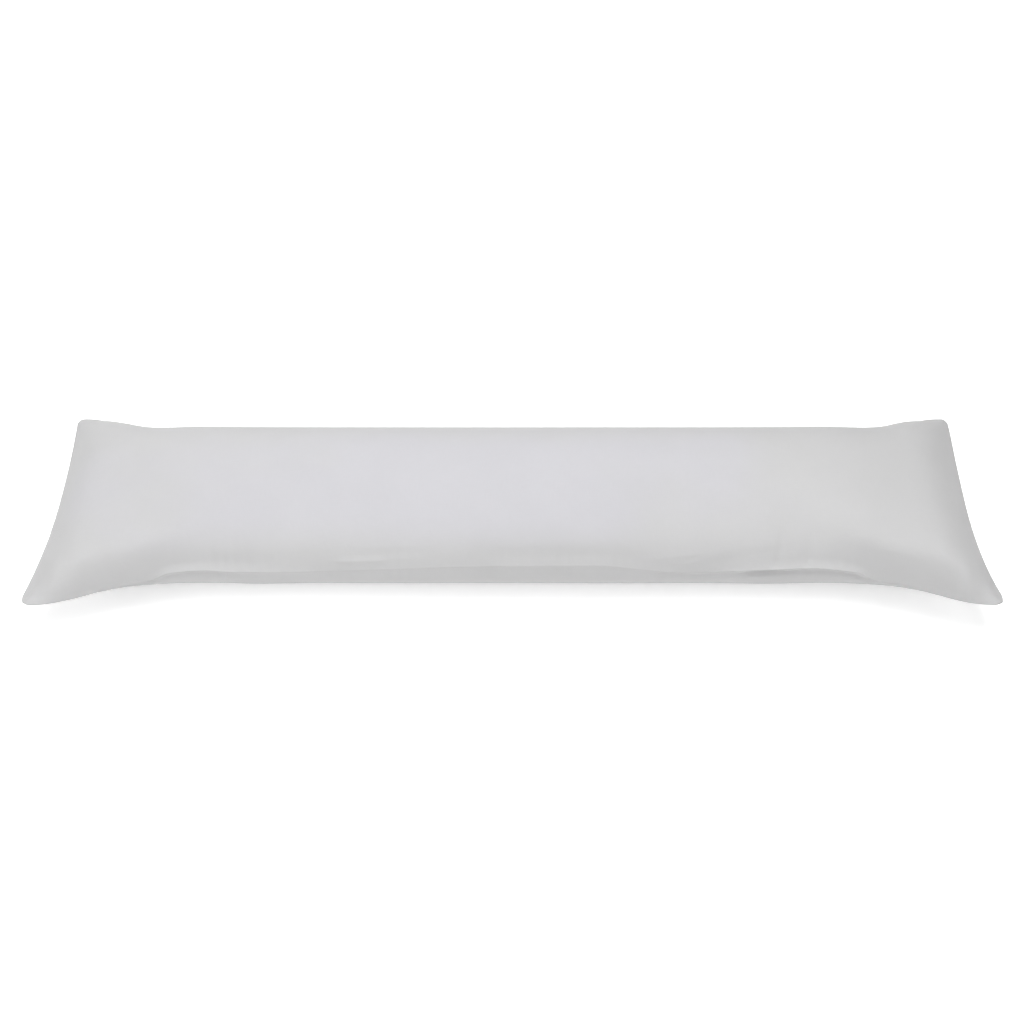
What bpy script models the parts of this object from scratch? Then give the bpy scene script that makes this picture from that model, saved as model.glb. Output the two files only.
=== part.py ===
"""Body pillow: a long plain casing of two cloth panels, sewn round the edge and filled with soft fibre.

Metres. +X runs along the pillow, +Y across it and +Z up. The origin is on the floor, under the middle.
The solid is made the way the pillow is. Two flat panels are laid face to face and joined round the
edge, the casing is filled to the cross-sections in END_SECTIONS, and the underside is pressed flat
where the pillow lies on the floor.
"""
import bpy
import bmesh
import math
from collections import namedtuple

# Driving dimensions of the filled pillow
LENGTH = 1.432          # between the corner points, along X; the rounded tips end 3 mm short of them
CROWN = 0.098           # height of the full body above its seam
BELLY = 0.121           # depth of the full body below its seam, before the floor presses on it
SEAM_HEIGHT = 0.095     # of the sewn edge above the floor, along the body
EDGE_THICKNESS = 0.005  # cloth and turned seam allowance at the sewn edge
END_PULL = 0.015        # how far the fill draws each end seam in between its corners
PULL_REACH = 0.130      # distance from the tips at which that pull has died out
FLOOR_BLEND = 0.012     # height over which the underside rounds into its flat contact patch

# One row for each cross-section, from a pair of corner tips to the middle of the pillow. Columns:
# distance from the tips, half width at the seam and how far the seam hangs below SEAM_HEIGHT, all in
# metres; fill, the share of CROWN and BELLY reached midway across; and roundness, from 0 where a panel
# spreads evenly across to 1 where the section is an oval. Both ends of the pillow use the same rows.
Section = namedtuple("Section", "from_tips half_width seam_drop fill roundness")
END_SECTIONS = [
    Section(0.000, 0.1930, 0.0165, 0.00, 0.00),
    Section(0.022, 0.1990, 0.0100, 0.40, 0.05),
    Section(0.065, 0.1870, 0.0070, 0.66, 0.20),
    Section(0.130, 0.1590, 0.0025, 0.86, 0.60),
    Section(0.220, 0.1365, 0.0000, 0.97, 0.95),
    Section(0.380, 0.1357, 0.0000, 1.00, 1.00),
    Section(LENGTH / 2, 0.1357, 0.0000, 1.00, 1.00),
]

# Where the cage's columns lie across a panel, from one long seam (-1) to the other (1)
COLUMNS = [-1.0, -0.9, -0.66, -0.34, 0.0, 0.34, 0.66, 0.9, 1.0]

SUBDIVISIONS = 2

CLOTH_COLOUR = (0.66, 0.66, 0.67, 1.0)
CLOTH_ROUGHNESS = 0.7


def clear_scene():
    for obj in list(bpy.data.objects):
        bpy.data.objects.remove(obj, do_unlink=True)


def stations():
    """Every cross-section in order along X, as pairs of the X position of its ends and its row."""
    left = [(row.from_tips - LENGTH / 2, row) for row in END_SECTIONS]
    right = [(-x, row) for x, row in reversed(left[:-1])]
    return left + right


def pull_in(across, from_tips):
    """How far a point is drawn in from the line of its corner tips: most at the middle of an end."""
    fade = max(0.0, 1 - from_tips / PULL_REACH)
    return END_PULL * (1 - abs(across) ** 2.5) * fade


def swell(along, across):
    """How full the pillow is, from 0 at a seam to 1: a hip form, with a soft ridge in from each corner.

    along is the fill that the end seam allows and across the fill that the long seams allow.
    """
    if min(along, across) < 1e-6:
        return 0.0
    return 1 / math.sqrt(along ** -2 + across ** -2 - 1)


def section_point(x, row, across, is_top):
    """The place of one cage point: across runs from -1 at one long seam to 1 at the other."""
    quarter_turn = math.pi / 2
    oval = math.sin(across * quarter_turn)
    spread = row.roundness * oval + (1 - row.roundness) * across
    fullness = swell(row.fill, math.cos(across * quarter_turn))
    seam_height = SEAM_HEIGHT - row.seam_drop
    if is_top:
        z = seam_height + EDGE_THICKNESS / 2 + CROWN * fullness
    else:
        z = seam_height - EDGE_THICKNESS / 2 - BELLY * fullness
    inward = math.copysign(pull_in(across, row.from_tips), -x)
    return (x + inward, row.half_width * spread, z)


def flat_casing(rows):
    """Two flat panels, face to face and joined by a narrow edge all round: a coarse cage of quads."""
    cage = bmesh.new()
    bmesh.ops.create_grid(cage, x_segments=len(rows) - 1, y_segments=len(COLUMNS) - 1, size=1.0)
    bmesh.ops.solidify(cage, geom=cage.faces[:], thickness=EDGE_THICKNESS)
    bmesh.ops.recalc_face_normals(cage, faces=cage.faces[:])
    return cage


def fill_casing(cage, rows):
    """Move each point of the flat casing to its place on the filled one."""
    last_row = len(rows) - 1
    last_column = len(COLUMNS) - 1
    between_panels = sum(vert.co.z for vert in cage.verts) / len(cage.verts)
    for vert in cage.verts:
        x, row = rows[round((vert.co.x + 1) / 2 * last_row)]
        across = COLUMNS[round((vert.co.y + 1) / 2 * last_column)]
        vert.co = section_point(x, row, across, vert.co.z > between_panels)


def height_at_rest(z):
    """Height once the floor presses on the underside: flat, then rounding up over FLOOR_BLEND."""
    if z <= -FLOOR_BLEND:
        return 0.0
    if z < FLOOR_BLEND:
        return (z + FLOOR_BLEND) ** 2 / (4 * FLOOR_BLEND)
    return z


def cloth_material():
    material = bpy.data.materials.new("pillow_cloth")
    material.use_nodes = True
    shader = material.node_tree.nodes["Principled BSDF"]
    shader.inputs["Base Color"].default_value = CLOTH_COLOUR
    shader.inputs["Roughness"].default_value = CLOTH_ROUGHNESS
    shader.inputs["Metallic"].default_value = 0.0
    return material


def smooth_mesh(pillow):
    """The cage's Subdivision Surface as a mesh of its own."""
    smooth = pillow.modifiers.new("smooth", "SUBSURF")
    smooth.levels = SUBDIVISIONS
    smooth.render_levels = SUBDIVISIONS
    bpy.context.view_layer.update()
    evaluated = pillow.evaluated_get(bpy.context.evaluated_depsgraph_get())
    mesh = bpy.data.meshes.new_from_object(evaluated)
    pillow.modifiers.remove(smooth)
    return mesh


def make_pillow(collection):
    rows = stations()
    cage = flat_casing(rows)
    fill_casing(cage, rows)
    cage_mesh = bpy.data.meshes.new("pillow_cage")
    cage.to_mesh(cage_mesh)
    cage.free()
    pillow = bpy.data.objects.new("pillow", cage_mesh)
    collection.objects.link(pillow)

    pillow.data = smooth_mesh(pillow)
    pillow.data.name = "pillow"
    for vert in pillow.data.vertices:
        vert.co.z = height_at_rest(vert.co.z)
    pillow.data.shade_smooth()
    pillow.data.materials.append(cloth_material())
    bpy.data.meshes.remove(cage_mesh)


def main():
    clear_scene()
    collection = bpy.data.collections.new("body_pillow")
    bpy.context.scene.collection.children.link(collection)
    make_pillow(collection)


main()
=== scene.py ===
"""Body pillow: the looks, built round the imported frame. Metres, +X along the pillow, +Z up."""
import math

import bpy
import numpy as np
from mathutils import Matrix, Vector


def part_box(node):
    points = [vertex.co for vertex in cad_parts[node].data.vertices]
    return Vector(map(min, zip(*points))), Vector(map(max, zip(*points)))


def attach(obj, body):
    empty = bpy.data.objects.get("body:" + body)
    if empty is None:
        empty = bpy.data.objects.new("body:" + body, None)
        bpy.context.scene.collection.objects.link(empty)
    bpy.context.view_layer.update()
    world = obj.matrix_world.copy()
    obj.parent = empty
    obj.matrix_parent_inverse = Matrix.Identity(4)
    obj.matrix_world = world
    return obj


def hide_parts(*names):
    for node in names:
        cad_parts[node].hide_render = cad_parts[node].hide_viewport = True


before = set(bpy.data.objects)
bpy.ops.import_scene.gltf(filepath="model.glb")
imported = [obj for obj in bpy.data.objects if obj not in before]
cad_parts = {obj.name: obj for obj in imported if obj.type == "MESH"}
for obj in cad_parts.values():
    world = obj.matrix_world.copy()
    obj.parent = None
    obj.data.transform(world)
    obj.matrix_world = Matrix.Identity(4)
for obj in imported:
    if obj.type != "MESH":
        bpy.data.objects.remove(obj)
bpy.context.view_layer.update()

lowest, highest = (np.array(corner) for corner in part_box("pillow"))
LENGTH = highest[0] - lowest[0]
HEIGHT = highest[2] - lowest[2]
HALF = LENGTH / 2

# the filled form
SEAM_HEIGHT = 0.095           # of the sewn edge above the floor, along the body
CROWN = HEIGHT - SEAM_HEIGHT  # height of the full body above its seam
BELLY = 0.112                 # depth of the full body below its seam, before the floor presses it
FLOOR_BLEND = 0.009           # height over which the underside rolls up from its flat
END_PULL = 0.015              # how far the fill draws each end seam in between its corners
PULL_REACH = 0.16             # distance from the tips at which that pull has died out
PULL_FADE = 1.5               # how quickly it dies out
NEAR_PULL = 0.35              # how much stronger it is towards the near corner of the right end
TIP_LEAN = 0.005              # how far the far corners are drawn in and the near ones let out
RIDGE = 4.0                   # how sharply the top ridges in from each corner; a plain hip is 2
PLAIN_RIDGE = 2.0
NEAR_TIP_SLACK = 0.5          # how much more slowly the crown rises close to the near seam
NEAR_TIP_BAND = (0.6, 0.9)    # where across the near half that starts and is complete
SIDES_BLEND = 0.6             # how far each side of the crown the far and the near form blend
BLUR = 0.15                   # share of the distance over which a table is blurred

# distances from the tips over which a section turns from an even spread into an oval
FAR_TOP_ROUNDS = (0.01, 0.11)
NEAR_TOP_ROUNDS = (0.005, 0.055)
BELLY_ROUNDS = (0.05, 0.34)

# the sewn edge flares from the body out to its corners: half width at the corners, reach of the
# flare and how abruptly it starts
BODY_HALF_WIDTH = 0.134
NEAR_FLARE = (0.192, 0.117, 3.0)
FAR_FLARE = (0.197, 0.096, 3.4)
NEAR_BOW = 0.004        # how far the near side bows out along the middle
NEAR_BOW_RUN = (0.35, 0.60)
END_DROP = 0.012        # how far the edge hangs lower near the ends
NEAR_DROP_RUN = (0.29, 0.15)
FAR_DROP_RUN = (0.24, 0.10)

# distance from the tips, share of its full height that the crown reaches
# at the left and the right end, and that the belly reaches, and how square the belly is
RISE = [
    (0.000, 0.00, 0.00, 0.00, 0.76),
    (0.012, 0.21, 0.19, 0.17, 0.76),
    (0.030, 0.47, 0.44, 0.40, 0.76),
    (0.048, 0.67, 0.635, 0.50, 0.76),
    (0.070, 0.79, 0.78, 0.57, 0.76),
    (0.110, 0.88, 0.89, 0.64, 0.76),
    (0.180, 0.935, 0.95, 0.74, 0.85),
    (0.240, 0.965, 0.972, 0.87, 0.90),
    (0.320, 0.985, 0.987, 0.95, 0.90),
    (0.500, 1.00, 1.00, 1.00, 0.78),
    (HALF, 1.00, 1.00, 1.00, 0.76),
]

# place along the pillow, how square the section is between the crown and the near seam;
# an oval is 1
NEAR_SQUARENESS = [
    (-0.67, 1.10),
    (-0.62, 1.75),
    (-0.53, 1.85),
    (-0.46, 1.40),
    (-0.38, 0.92),
    (-0.28, 0.76),
    (-0.20, 0.80),
    (-0.05, 1.10),
    (0.12, 1.10),
    (0.22, 0.76),
    (0.30, 0.80),
    (0.40, 0.95),
    (0.47, 1.25),
    (0.53, 1.85),
    (0.62, 1.75),
    (0.67, 1.10),
]

# radii of the corners
NEAR_TIP_ROUND = 0.020
FAR_TIP_ROUND = 0.012

# turning points of the near seam's wander: place along the pillow, degrees that it has rolled
# below the side (it rides high along the middle and just inside each corner's ear)
NEAR_SEAM_ROLL = [
    (-0.54, 0),
    (-0.50, -8),
    (-0.40, -1),
    (-0.31, 1),
    (-0.06, -6),
    (0.12, -7),
    (0.26, 3),
    (0.35, -2),
    (0.50, -9),
    (0.54, 0),
]

# place along the pillow, how far the near flank bulges out above its seam
NEAR_BULGE = [
    (-0.68, 0.000),
    (-0.63, 0.022),
    (-0.55, 0.032),
    (-0.48, 0.018),
    (-0.42, 0.000),
    (0.42, 0.000),
    (0.49, 0.022),
    (0.55, 0.034),
    (0.63, 0.024),
    (0.68, 0.000),
]

# grid of each panel: rows along the pillow, columns across it
FINE = (400, 120)
COARSE = (200, 44)
ROW_CROWDING = 1.3  # how much closer the rows lie towards the ends; even rows are 1


def smoothstep(low, high, value):
    t = np.clip((value - low) / (high - low), 0.0, 1.0)
    return t * t * (3 - 2 * t)


def smooth_curve(points, x):
    """A smooth curve through a short table, without overshoot (monotone cubic)."""
    xs, ys = np.array(points, float).T
    x = np.clip(x, xs[0], xs[-1])
    step = np.diff(xs)
    slope = np.diff(ys) / step
    tangent = np.zeros(len(xs))
    for k in range(1, len(xs) - 1):
        if slope[k - 1] * slope[k] > 0:
            tangent[k] = 2 * slope[k - 1] * slope[k] / (slope[k - 1] + slope[k])
    k = np.clip(np.searchsorted(xs, x) - 1, 0, len(xs) - 2)
    t = (x - xs[k]) / step[k]
    return ((1 + 2 * t) * (1 - t) ** 2 * ys[k] + t * (1 - t) ** 2 * step[k] * tangent[k]
            + t * t * (3 - 2 * t) * ys[k + 1] + t * t * (t - 1) * step[k] * tangent[k + 1])


def table_value(table, column, x):
    """A column of a table as a curve, blurred a little so that no row shows as a ring."""
    points = [(row[0], row[column]) for row in table]
    return sum(smooth_curve(points, x * (1 + step)) for step in (-BLUR, 0, BLUR)) / 3


def press(z):
    """Heights pressed flat on the floor, with a short roll up from the flat."""
    rolled = (z + FLOOR_BLEND) ** 2 / (4 * FLOOR_BLEND)
    return np.where(z <= -FLOOR_BLEND, 0.0, np.where(z < FLOOR_BLEND, rolled, z))


def round_tips(x, y, from_end, from_side):
    """Points of the square corners drawn in to round ones."""
    radius = np.where(y < 0, NEAR_TIP_ROUND, FAR_TIP_ROUND)
    over_x = np.clip(radius - from_end, 0, None)
    over_y = np.clip(radius - from_side, 0, None)
    inward = 1 - np.maximum(over_x, over_y) / np.maximum(np.hypot(over_x, over_y), 1e-9)
    inward = np.where((over_x > 0) & (over_y > 0), inward, 0)
    return x - np.sign(x) * over_x * inward, y - np.sign(y) * over_y * inward


def flare(from_tips, corner, reach, power):
    """Half width of the sewn edge where it widens towards its corners."""
    return BODY_HALF_WIDTH + (corner - BODY_HALF_WIDTH) / (1 + (from_tips / reach) ** power)


def filled_form(u, angle):
    """A point of the filled casing: u from -1 to 1 along it, angle round it from the crown.

    The far seam is at a quarter turn and the near one at minus a quarter turn.
    """
    from_tips = HALF * (1 - np.abs(u))
    oval = np.sin(angle)
    even = np.arcsin(np.clip(oval, -1, 1)) / (math.pi / 2)
    near_share = smoothstep(-SIDES_BLEND, SIDES_BLEND, -even)
    bow = NEAR_BOW * smoothstep(*NEAR_BOW_RUN, from_tips)
    half_width = np.where(oval < 0, flare(from_tips, *NEAR_FLARE) + bow,
                          flare(from_tips, *FAR_FLARE))
    drop = END_DROP * (smoothstep(*FAR_DROP_RUN, from_tips) * (1 - near_share)
                       + smoothstep(*NEAR_DROP_RUN, from_tips) * near_share)
    above = np.cos(angle) > 0
    top_round = (smoothstep(*FAR_TOP_ROUNDS, from_tips) * (1 - near_share)
                 + smoothstep(*NEAR_TOP_ROUNDS, from_tips) * near_share)
    roundness = np.where(above, top_round, smoothstep(*BELLY_ROUNDS, from_tips))
    rising = from_tips * (1 - NEAR_TIP_SLACK * smoothstep(*NEAR_TIP_BAND, -even))
    crown_rise = np.where(u < 0, table_value(RISE, 1, rising), table_value(RISE, 2, rising))
    along = np.where(above, crown_rise, table_value(RISE, 3, from_tips))
    across = np.abs(np.cos(angle))
    ridge = np.where(above, RIDGE, PLAIN_RIDGE)
    full = (np.maximum(along, 1e-3) ** -ridge
            + np.maximum(across, 1e-3) ** -ridge - 1) ** (-1 / ridge)
    full = np.where((along < 2e-3) | (across < 2e-3), 0.0, full)
    fade = np.clip(1 - from_tips / PULL_REACH, 0, 1) ** PULL_FADE
    pull = END_PULL * (1 - even ** 2) * (1 - NEAR_PULL * even * (u > 0)) + TIP_LEAN * even ** 3
    x = HALF * u - np.sign(u) * pull * fade
    square = 1 + (smooth_curve(NEAR_SQUARENESS, HALF * u) - 1) * near_share
    square = np.where(above, square, table_value(RISE, 4, from_tips))
    spread = roundness * np.sign(oval) * np.abs(oval) ** (1 / square) + (1 - roundness) * even
    bulge = smooth_curve(NEAR_BULGE, HALF * u) * np.sin(2 * angle) * np.cos(angle) ** 2
    x, y = round_tips(x, half_width * spread, from_tips, half_width * (1 - np.abs(spread)))
    y = y + np.where(above & (oval < 0), bulge, 0.0)
    z = SEAM_HEIGHT - drop + np.where(above, CROWN, -BELLY) * full
    return np.stack([x, y, press(z)], -1)


def panels(rows, columns):
    """The top and the bottom panel as grids of points, near seam first, finer at the seams."""
    w = np.linspace(-1, 1, rows + 1)
    u = np.sign(w) * (1 - (1 - np.abs(w)) ** ROW_CROWDING)
    w = np.linspace(-1, 1, columns + 1)
    v = 0.5 * np.sin(w * math.pi / 2) + 0.5 * w
    uu, share = np.meshgrid(u, (v + 1) / 2, indexing="ij")
    roll = np.radians(smooth_curve(NEAR_SEAM_ROLL, uu * HALF))
    near = -math.pi / 2 - roll
    top = filled_form(uu, near + (math.pi + roll) * share)
    bottom = filled_form(uu, near - (math.pi - roll) * share)
    return top, bottom


def join(top, bottom):
    """Points and faces of the closed casing: the two panels share their sewn edge."""
    shape = top.shape[:2]
    number = np.arange(shape[0] * shape[1]).reshape(shape)
    inner = np.zeros(shape, bool)
    inner[1:-1, 1:-1] = True
    under = number.copy()
    under[inner] = number.size + np.arange(inner.sum())
    points = np.concatenate([top.reshape(-1, top.shape[-1]), bottom[inner]])
    quads = []
    for grid, flip in ((number, False), (under, True)):
        quad = np.stack([grid[:-1, :-1], grid[1:, :-1], grid[1:, 1:], grid[:-1, 1:]], -1)
        quad = quad.reshape(-1, 4)
        quads.append(quad[:, ::-1] if flip else quad)
    return points, np.concatenate(quads), number, under


def arc(grid, axis):
    """Distance along the grid from its first line."""
    step = np.linalg.norm(np.diff(grid, axis=axis), axis=-1)
    zero = np.zeros_like(np.take(step, [0], axis))
    return np.concatenate([zero, np.cumsum(step, axis)], axis)


def edge_distances(grid):
    """Distance over the cloth to the near seam, the far seam and the nearer end seam."""
    across = arc(grid, 1)
    along = arc(grid, 0)
    return across, across[:, -1:] - across, np.minimum(along, along[-1:] - along)


def resample(values, rows, columns):
    """A smooth (Catmull-Rom) refinement of a grid of values in its own parameters."""
    for axis, count in ((0, rows), (1, columns)):
        size = values.shape[axis]
        place = np.linspace(0, size - 1, count + 1)
        k = np.minimum(place.astype(int), size - 2)
        t = (place - k).reshape([-1 if a == axis else 1 for a in range(values.ndim)])
        p0, p1, p2, p3 = (np.take(values, np.clip(k + d, 0, size - 1), axis) for d in (-1, 0, 1, 2))
        values = p1 + 0.5 * t * (p2 - p0 + t * (2 * p0 - 5 * p1 + 4 * p2 - p3
                                                + t * (3 * (p1 - p2) + p3 - p0)))
    return values


# the sewn casing under its filling's pressure
SEAM_EASE = 0.03     # share by which the cloth is fuller beside a seam
PANEL_EASE = -0.002  # and in the middle of a panel
EASE_REACH = 0.03
CLOTH_SETTINGS = {
    "quality": 6,
    "mass": 0.0006,
    "tension_stiffness": 40,
    "compression_stiffness": 40,
    "shear_stiffness": 15,
    "bending_stiffness": 1.0,
    "air_damping": 1,
    "vertex_group_mass": "filling",
    "pin_stiffness": 1.0,
    "vertex_group_shrink": "ease",
    "shrink_min": -PANEL_EASE,
    "shrink_max": -SEAM_EASE,
    "use_pressure": True,
    "uniform_pressure_force": 3.0,
}
SETTLE_FRAMES = 20
MOST_MOVED = 0.006

# how firmly the filling holds the cloth, on the body and in the corners, and how far in that goes
FILL_HOLD = 0.20
TIP_HOLD = 0.9
TIP_HOLD_RUN = (0.14, 0.03)
TIP_HALF_WIDTH = 0.195

# unevenness of the cloth before it settles: height, and three waves in radians per metre, with a
# row each for X, Y and Z
UNEVEN = 0.0002
UNEVEN_WAVES = [[61.0, 83.0, 47.0], [39.0, 27.0, 51.0], [23.0, 59.0, 37.0]]


def ease_share(grid):
    """Where the cloth is eased into its seams: 1 at a seam, 0 in the middle of a panel."""
    near, far, end = edge_distances(grid)
    return np.exp(-(np.minimum(np.minimum(near, far), end) / EASE_REACH) ** 2)


def soften(values):
    """One pass of smoothing along and across a grid, its edges left as they are."""
    values = values.copy()
    values[1:-1] = (values[:-2] + 2 * values[1:-1] + values[2:]) / 4
    values[:, 1:-1] = (values[:, :-2] + 2 * values[:, 1:-1] + values[:, 2:]) / 4
    return values


def settle(top, bottom):
    """Cloth simulation of the casing, held softly by its filling: how far each point moves."""
    points, quads, number, under = join(top, bottom)
    ease = join(ease_share(top)[..., None], ease_share(bottom)[..., None])[0]
    mesh = bpy.data.meshes.new("settling")
    uneven = UNEVEN * ease * np.sin(points @ np.array(UNEVEN_WAVES))
    mesh.from_pydata((points + uneven).tolist(), [], quads.tolist())
    casing = bpy.data.objects.new("settling", mesh)
    scene = bpy.context.scene
    scene.collection.objects.link(casing)
    from_tip = HALF - np.abs(points[:, 0]) + TIP_HALF_WIDTH - np.abs(points[:, 1])
    hold = FILL_HOLD + (TIP_HOLD - FILL_HOLD) * smoothstep(*TIP_HOLD_RUN, from_tip)
    for name, shares in (("filling", hold), ("ease", ease[:, 0])):
        group = casing.vertex_groups.new(name=name)
        for index, share in enumerate(shares.tolist()):
            group.add([index], share, "REPLACE")
    cloth = casing.modifiers.new("cloth", "CLOTH")
    for name, value in CLOTH_SETTINGS.items():
        setattr(cloth.settings, name, value)
    cloth.settings.effector_weights.gravity = 0
    cloth.collision_settings.use_collision = False
    cloth.point_cache.frame_start = 1
    cloth.point_cache.frame_end = SETTLE_FRAMES
    for step in range(1, SETTLE_FRAMES + 1):
        scene.frame_set(step)
    settled = casing.evaluated_get(bpy.context.evaluated_depsgraph_get()).to_mesh()
    moved = np.empty(len(points) * 3, np.float32)
    settled.vertices.foreach_get("co", moved)
    moved = moved.reshape(-1, 3) - points
    bpy.data.objects.remove(casing)
    bpy.data.meshes.remove(mesh)
    scene.frame_set(1)
    size = np.linalg.norm(moved, axis=1, keepdims=True)
    moved *= np.minimum(1, MOST_MOVED / np.maximum(size, 1e-9))
    return soften(moved[number]), soften(moved[under])


def normals(grid):
    along = np.gradient(grid, axis=0)
    across = np.gradient(grid, axis=1)
    normal = np.cross(along, across)
    return normal / np.maximum(np.linalg.norm(normal, axis=-1, keepdims=True), 1e-12)


# the far seam's lip, and how far it and the top side of the near one reach over the panel
FAR_LIP = 0.0015
LIP_REACH = 0.015

# place along the pillow, how far the near seam stands out as a lip, how far that reaches below it
NEAR_LIP = [
    (-0.56, 0.0015, 0.015),
    (-0.53, 0.0020, 0.015),
    (-0.49, 0.0050, 0.015),
    (-0.40, 0.0050, 0.015),
    (-0.33, 0.0040, 0.018),
    (-0.26, 0.0015, 0.030),
    (-0.10, 0.0015, 0.030),
    (0.28, 0.0015, 0.030),
    (0.34, 0.0045, 0.018),
    (0.40, 0.0060, 0.015),
    (0.49, 0.0060, 0.015),
    (0.53, 0.0020, 0.015),
    (0.56, 0.0015, 0.015),
]

# the seam allowance showing through: distance from the seam, width, height, and where along the
# long seams it fades in
IMPRINT_PLACE = 0.0065
IMPRINT_WIDTH = 0.0022
IMPRINT_HEIGHT = 0.0004
IMPRINT_RUN = (0.25, 0.10)

# puckers: height, reach from the seam, where they start, their pitch, and the longer waves that
# drift and swell them
PUCKER_HEIGHT = 0.0005
END_PUCKER_HEIGHT = 0.0006
PUCKER_REACH = 0.022
PUCKER_START = (0, 0.006)
PUCKER_PITCH = 0.021
DRIFT_PITCHES = (0.083, 0.131)
SWELL_PITCH = 0.21

RELIEF_START = (0, 0.003)  # distances from a seam over which all relief fades in

# folds and dents beside the near seam, on the top (1) or the bottom (-1) panel:
# start and end along the pillow, distance from the seam at each, half width, height
CREASES = [
    (1, 0.00, 0.018, 0.20, 0.018, 0.012, -0.0018),
    (1, 0.205, 0.020, 0.238, 0.024, 0.009, 0.0014),
    (1, 0.256, 0.024, 0.260, 0.025, 0.004, -0.0014),
    (1, 0.238, 0.024, 0.241, 0.025, 0.004, -0.0007),
    (1, 0.388, 0.004, 0.394, 0.046, 0.006, -0.0016),
    (1, 0.432, 0.004, 0.438, 0.046, 0.006, -0.0016),
    (1, 0.411, 0.006, 0.416, 0.040, 0.006, 0.0008),
    (1, 0.300, 0.020, 0.375, 0.026, 0.008, -0.0010),
    (1, -0.420, 0.018, -0.300, 0.024, 0.010, -0.0010),
    (1, -0.243, 0.017, -0.196, 0.016, 0.005, 0.0014),
    (1, -0.230, 0.028, -0.140, 0.026, 0.007, -0.0009),
    (-1, 0.230, 0.006, 0.370, 0.012, 0.007, -0.0025),
    (-1, 0.370, 0.012, 0.520, 0.012, 0.008, -0.0035),
    (-1, -0.560, 0.010, -0.440, 0.010, 0.007, -0.0025),
    (-1, 0.020, 0.016, 0.190, 0.016, 0.008, -0.0008),
]


def crease(x, near, row):
    """A soft fold from one point of the panel to another, fading out at both ends."""
    _, x0, near0, x1, near1, width, height = row
    run = np.array([x1 - x0, near1 - near0])
    length = np.linalg.norm(run)
    run = run / length
    forward = (x - x0) * run[0] + (near - near0) * run[1]
    aside = (x - x0) * run[1] - (near - near0) * run[0]
    beyond = np.maximum(np.maximum(-forward, forward - length), 0)
    taper = np.exp(-(beyond / (3 * width)) ** 2)
    return height * taper * np.exp(-(aside / width) ** 2)


def gather(place, phase):
    """Uneven little waves of cloth eased into a seam, between -1 and 1."""
    turns = 2 * math.pi * place
    drift = (1.7 * np.sin(turns / DRIFT_PITCHES[0] + phase)
             + 1.1 * np.sin(turns / DRIFT_PITCHES[1]))
    swell = 0.6 + 0.4 * np.sin(turns / SWELL_PITCH + 2 * phase)
    return swell * np.sin(turns / PUCKER_PITCH + drift)


def puckers(height, place, phase, from_seam):
    """Relief of the gathers along one seam."""
    fade = np.exp(-from_seam / PUCKER_REACH) * smoothstep(*PUCKER_START, from_seam)
    return height * gather(place, phase) * fade


def finish_panel(grid, side):
    """Seam lip, puckers, folds and the imprint of the seam allowance on a settled panel.

    side is 1 for the top panel and -1 for the bottom one.
    """
    near, far, end = edge_distances(grid)
    x, y = grid[..., 0], grid[..., 1]
    height = puckers(PUCKER_HEIGHT, x, 0.4, near)
    height += puckers(PUCKER_HEIGHT, x, 2.1, far)
    height += puckers(END_PUCKER_HEIGHT, y, 3.3 + np.sign(x), end)
    for edge in (near, far, end):
        fade = smoothstep(*IMPRINT_RUN, HALF - np.abs(x)) if edge is not end else 1.0
        height += IMPRINT_HEIGHT * fade * np.exp(-((edge - IMPRINT_PLACE) / IMPRINT_WIDTH) ** 2)
    for row in CREASES:
        if row[0] == side:
            height += crease(x, near, row)
    edge = np.minimum(np.minimum(near, far), end)
    height *= smoothstep(*RELIEF_START, edge)
    grid = grid + side * height[..., None] * normals(grid)
    lip = smooth_curve([row[:2] for row in NEAR_LIP], x)
    reach = LIP_REACH if side > 0 else smooth_curve([row[::2] for row in NEAR_LIP], x)
    grid[..., 1] += (FAR_LIP * np.clip(1 - far / LIP_REACH, 0, 1) ** 2
                     - lip * np.clip(1 - near / reach, 0, 1) ** 2)
    return grid


def casing_mesh():
    top, bottom = panels(*COARSE)
    moved = settle(top, bottom)
    top, bottom = panels(*FINE)
    resting = bottom[..., 2] < 1e-6
    top = finish_panel(top + resample(moved[0], *FINE), 1)
    bottom = finish_panel(bottom + resample(moved[1], *FINE), -1)
    bottom[..., 2] = np.where(resting, 0, np.maximum(bottom[..., 2], 0))
    points, quads, number, under = join(top, bottom)
    mesh = bpy.data.meshes.new("pillow_casing")
    mesh.from_pydata(points.tolist(), [], quads.tolist())
    mesh.shade_smooth()
    cloth_coordinates(mesh, top, bottom)
    return mesh


def cloth_coordinates(mesh, top, bottom):
    """A UV map with each panel laid out flat in metres, and each point's distance to a seam."""
    corners = []
    seam = []
    for grid, flip in ((top, False), (bottom, True)):
        near, far, end = edge_distances(grid)
        flat = np.stack([arc(grid, 0) - HALF, near + (0.5 if flip else 0.0)], -1)
        quad = np.stack([flat[:-1, :-1], flat[1:, :-1], flat[1:, 1:], flat[:-1, 1:]], 2)
        quad = quad.reshape(-1, 4, 2)
        corners.append(quad[:, ::-1] if flip else quad)
        seam.append(np.minimum(np.minimum(near, far), end))
    layer = mesh.uv_layers.new(name="cloth_metres")
    layer.data.foreach_set("uv", np.concatenate(corners).astype(np.float32).ravel())
    to_seam = join(seam[0][..., None], seam[1][..., None])[0]
    attribute = mesh.attributes.new("to_seam", "FLOAT", "POINT")
    attribute.data.foreach_set("value", to_seam.astype(np.float32).ravel())


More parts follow.
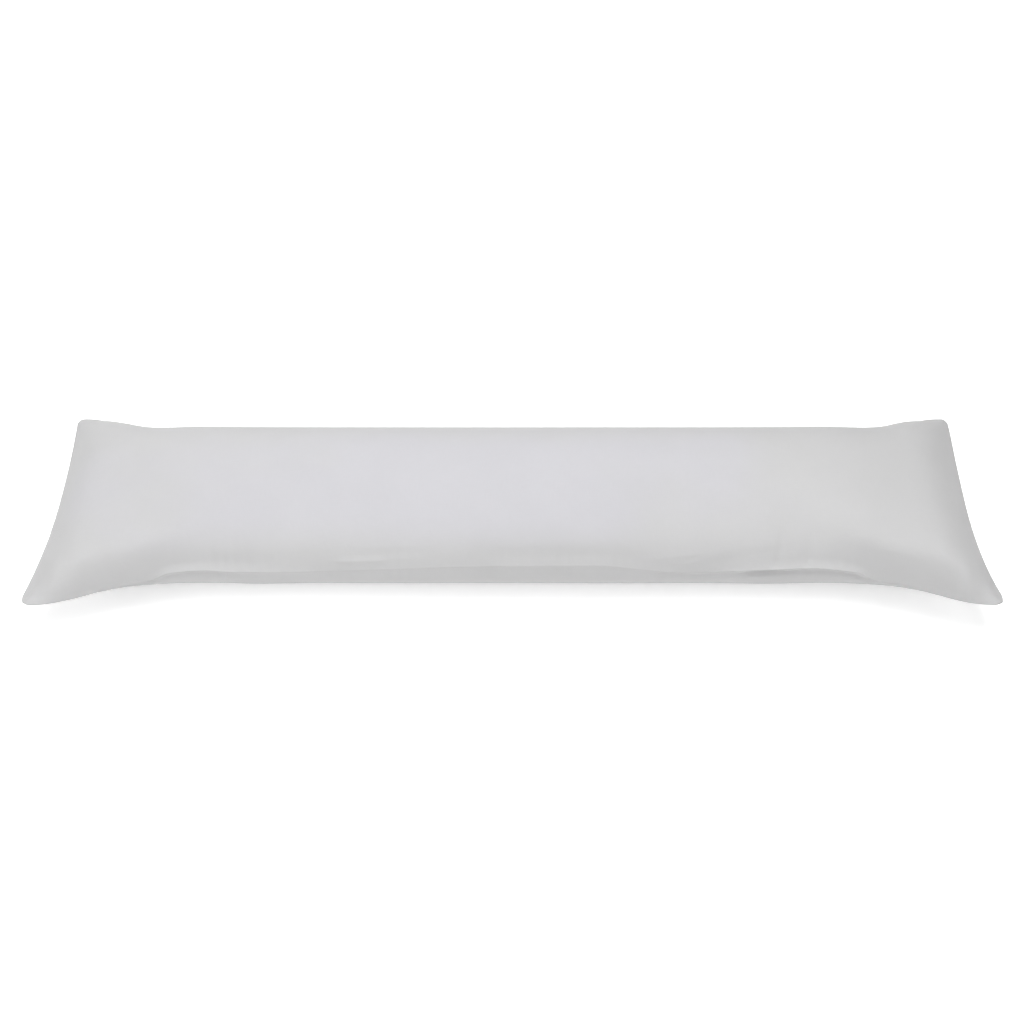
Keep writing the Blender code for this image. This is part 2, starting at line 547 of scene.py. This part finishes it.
THREAD = 0.0007
STITCH = 0.004
WAVE_UNIT = 2 * math.pi / 20  # a wave texture of this scale repeats once a metre
COOL_CLOTH = (0.553, 0.549, 0.575, 1)
GREY_CLOTH = (0.548, 0.547, 0.550, 1)


def cloth_material():
    """A fine plain weave with a soft sheen, a shade cooler along the middle of the crown, with
    painted shade darkening it along the seams.
    """
    material = bpy.data.materials.new("casing_cloth")
    material.use_nodes = True
    nodes = material.node_tree.nodes
    links = material.node_tree.links
    shader = nodes["Principled BSDF"]
    shader.inputs["Sheen Weight"].default_value = 0.12
    shader.inputs["Sheen Roughness"].default_value = 0.45
    shader.inputs["Specular IOR Level"].default_value = 0.35

    def node(kind, **values):
        made = nodes.new(kind)
        for name, value in values.items():
            if name in made.inputs:
                made.inputs[name].default_value = value
            else:
                setattr(made, name, value)
        return made

    def maths(operation, first, second):
        made = node("ShaderNodeMath", operation=operation)
        for socket, value in zip(made.inputs, (first, second)):
            if isinstance(value, (int, float)):
                socket.default_value = value
            else:
                links.new(value, socket)
        return made.outputs[0]

    def spread(value, low, high, to_low, to_high):
        made = node("ShaderNodeMapRange", interpolation_type="SMOOTHSTEP")
        for socket, number in zip(made.inputs[1:5], (low, high, to_low, to_high)):
            socket.default_value = number
        links.new(value, made.inputs[0])
        return made.outputs[0]

    def noise(scale, detail, source):
        made = node("ShaderNodeTexNoise", Scale=scale, Detail=detail)
        links.new(source, made.inputs["Vector"])
        return made.outputs["Fac"]

    cloth = node("ShaderNodeUVMap", uv_map="cloth_metres").outputs[0]
    place = node("ShaderNodeTexCoord").outputs["Object"]
    to_seam = node("ShaderNodeAttribute", attribute_name="to_seam").outputs["Fac"]
    split = node("ShaderNodeSeparateXYZ")
    links.new(place, split.inputs[0])

    # warp and weft
    threads = []
    for direction in ("X", "Y"):
        wave = node("ShaderNodeTexWave", wave_type="BANDS", bands_direction=direction,
                    Scale=WAVE_UNIT / THREAD, Distortion=0.6, Detail=1.0)
        links.new(cloth, wave.inputs["Vector"])
        threads.append(wave.outputs["Fac"])
    weave = maths("MULTIPLY", threads[0], threads[1])

    # slubs: short thicker threads both ways
    slubs = []
    for stretch in ((60, 900, 1), (900, 60, 1)):
        mapping = node("ShaderNodeMapping", Scale=stretch)
        links.new(cloth, mapping.inputs["Vector"])
        slubs.append(noise(1.0, 2.0, mapping.outputs[0]))
    slub = maths("ADD", slubs[0], slubs[1])

    # colour: cooler along the middle of the crown, slightly uneven, and painted shade darkening it
    # in the seam's groove
    uneven = noise(4.0, 3.0, place)
    patch = maths("ADD", split.outputs["X"], uneven)
    middle = maths("MULTIPLY", spread(patch, -0.15, 0.20, 0, 1), spread(patch, 0.60, 0.98, 1, 0))
    middle = maths("MULTIPLY", middle, spread(split.outputs["Z"], 0.12, 0.17, 0, 1))
    rear = maths("ADD", split.outputs["Y"], maths("MULTIPLY", uneven, 0.08))
    middle = maths("MULTIPLY", middle, spread(rear, 0.06, 0.12, 1, 0.25))
    tint = node("ShaderNodeMix", data_type="RGBA")
    links.new(middle, tint.inputs["Factor"])
    tint.inputs["A"].default_value = GREY_CLOTH
    tint.inputs["B"].default_value = COOL_CLOTH
    tone_and_seam_shade = maths("ADD", spread(slub, 0.6, 1.4, 0.985, 1.015),
                 spread(noise(14.0, 3.0, place), 0.3, 0.7, -0.008, 0.008))
    # painted shade: the colour is darkened to 0.97 within about 1.6 mm of a seam, where the groove
    # would be shaded
    tone_and_seam_shade = maths("MULTIPLY", tone_and_seam_shade, spread(to_seam, 0.0003, 0.0016, 0.97, 1.0))
    shade = node("ShaderNodeVectorMath", operation="SCALE")
    links.new(tint.outputs["Result"], shade.inputs[0])
    links.new(tone_and_seam_shade, shade.inputs["Scale"])
    links.new(shade.outputs[0], shader.inputs["Base Color"])
    links.new(spread(slub, 0.6, 1.4, 0.62, 0.78), shader.inputs["Roughness"])

    # relief: the weave, its slubs, and the needle's pull along the seam
    stitch = node("ShaderNodeTexWave", wave_type="BANDS", bands_direction="X",
                  Scale=WAVE_UNIT / STITCH)
    links.new(cloth, stitch.inputs["Vector"])
    pull = maths("MULTIPLY", stitch.outputs["Fac"], spread(to_seam, 0.0008, 0.0035, 1.5, 0))
    threads_and_pull = maths("ADD", maths("MULTIPLY", slub, 0.5), pull)
    relief = maths("ADD", maths("MULTIPLY", weave, 0.5), threads_and_pull)
    bump = node("ShaderNodeBump", Strength=0.35, Distance=0.0003)
    links.new(relief, bump.inputs["Height"])
    links.new(bump.outputs[0], shader.inputs["Normal"])
    return material


FLOOR_SIZE = 30
FLOOR_WHITE = 0.93
FLOOR_GLOW = 0.12  # light that the floor gives off
FLOOR_LIFT = 0.30  # and what it seems to give off besides, as seen directly


def floor_material():
    """A plain white floor, brighter as seen directly than as a light on the pillow."""
    material = bpy.data.materials.new("floor")
    material.use_nodes = True
    nodes = material.node_tree.nodes
    links = material.node_tree.links
    shader = nodes["Principled BSDF"]
    shader.inputs["Base Color"].default_value = (FLOOR_WHITE, FLOOR_WHITE, FLOOR_WHITE, 1)
    shader.inputs["Roughness"].default_value = 0.9
    shader.inputs["Specular IOR Level"].default_value = 0.1
    shader.inputs["Emission Color"].default_value = (1, 1, 1, 1)
    shader.inputs["Emission Strength"].default_value = FLOOR_GLOW
    seen = nodes.new("ShaderNodeLightPath").outputs["Is Camera Ray"]
    lift = nodes.new("ShaderNodeMath")
    lift.operation = "MULTIPLY"
    lift.inputs[1].default_value = FLOOR_LIFT
    glow = nodes.new("ShaderNodeEmission")
    both = nodes.new("ShaderNodeAddShader")
    links.new(seen, lift.inputs[0])
    links.new(lift.outputs[0], glow.inputs["Strength"])
    links.new(shader.outputs[0], both.inputs[0])
    links.new(glow.outputs[0], both.inputs[1])
    links.new(both.outputs[0], nodes["Material Output"].inputs["Surface"])
    return material


CAMERA_ELEVATION = math.radians(47.07)
CAMERA_DISTANCE = 2.2299
CAMERA_AIM = (-0.0007, -0.0141, 0.0889)
CAMERA_LENS = 51.27


def make_camera():
    away = Vector((0, -math.cos(CAMERA_ELEVATION), math.sin(CAMERA_ELEVATION)))
    data = bpy.data.cameras.new("camera")
    data.lens = CAMERA_LENS
    data.sensor_width = 36
    camera = bpy.data.objects.new("camera", data)
    camera.location = Vector(CAMERA_AIM) + CAMERA_DISTANCE * away
    camera.rotation_euler = (math.pi / 2 - CAMERA_ELEVATION, 0, 0)
    bpy.context.scene.collection.objects.link(camera)
    bpy.context.scene.camera = camera


LIGHT_DISTANCE = 3.2
LIGHT_SIZE = 1.8

# soft disks: elevation, turn from the camera's side towards +X, power
LIGHTS = {
    "overhead": (80, 0, 57),
    "overhead_rear": (80, 180, 20),
    "front_left": (50, -30, 20),
    "right": (50, 100, 12),
    "low_left": (20, -60, 25),
    "low_right": (20, 60, 20),
    "low_rear_left": (20, -150, 25),
    "low_rear": (20, 180, 15),
}
WORLD_LIGHT = 0.005


def soft_light(name, elevation, turn, power):
    elevation = math.radians(elevation)
    turn = math.radians(turn)
    toward = Vector((math.sin(turn) * math.cos(elevation),
                     -math.cos(turn) * math.cos(elevation),
                     math.sin(elevation)))
    data = bpy.data.lights.new(name, "AREA")
    data.shape = "DISK"
    data.size = LIGHT_SIZE
    data.energy = power
    light = bpy.data.objects.new(name, data)
    light.location = toward * LIGHT_DISTANCE
    light.rotation_euler = (-toward).to_track_quat("-Z", "Y").to_euler()
    bpy.context.scene.collection.objects.link(light)


def make_stage():
    bpy.ops.mesh.primitive_plane_add(size=FLOOR_SIZE, location=(0, 0, 0))
    floor = bpy.context.object
    floor.name = "floor"
    floor.data.materials.append(floor_material())
    world = bpy.data.worlds.new("studio")
    world.use_nodes = True
    world.node_tree.nodes["Background"].inputs["Color"].default_value = (1, 1, 1, 1)
    world.node_tree.nodes["Background"].inputs["Strength"].default_value = WORLD_LIGHT
    bpy.context.scene.world = world
    for name, setting in LIGHTS.items():
        soft_light(name, *setting)
    bpy.context.scene.view_settings.view_transform = "Standard"


make_camera()
pillow = bpy.data.objects.new("body_pillow", casing_mesh())
bpy.context.scene.collection.objects.link(pillow)
pillow.data.materials.append(cloth_material())
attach(pillow, "root")
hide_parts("pillow")
make_stage()
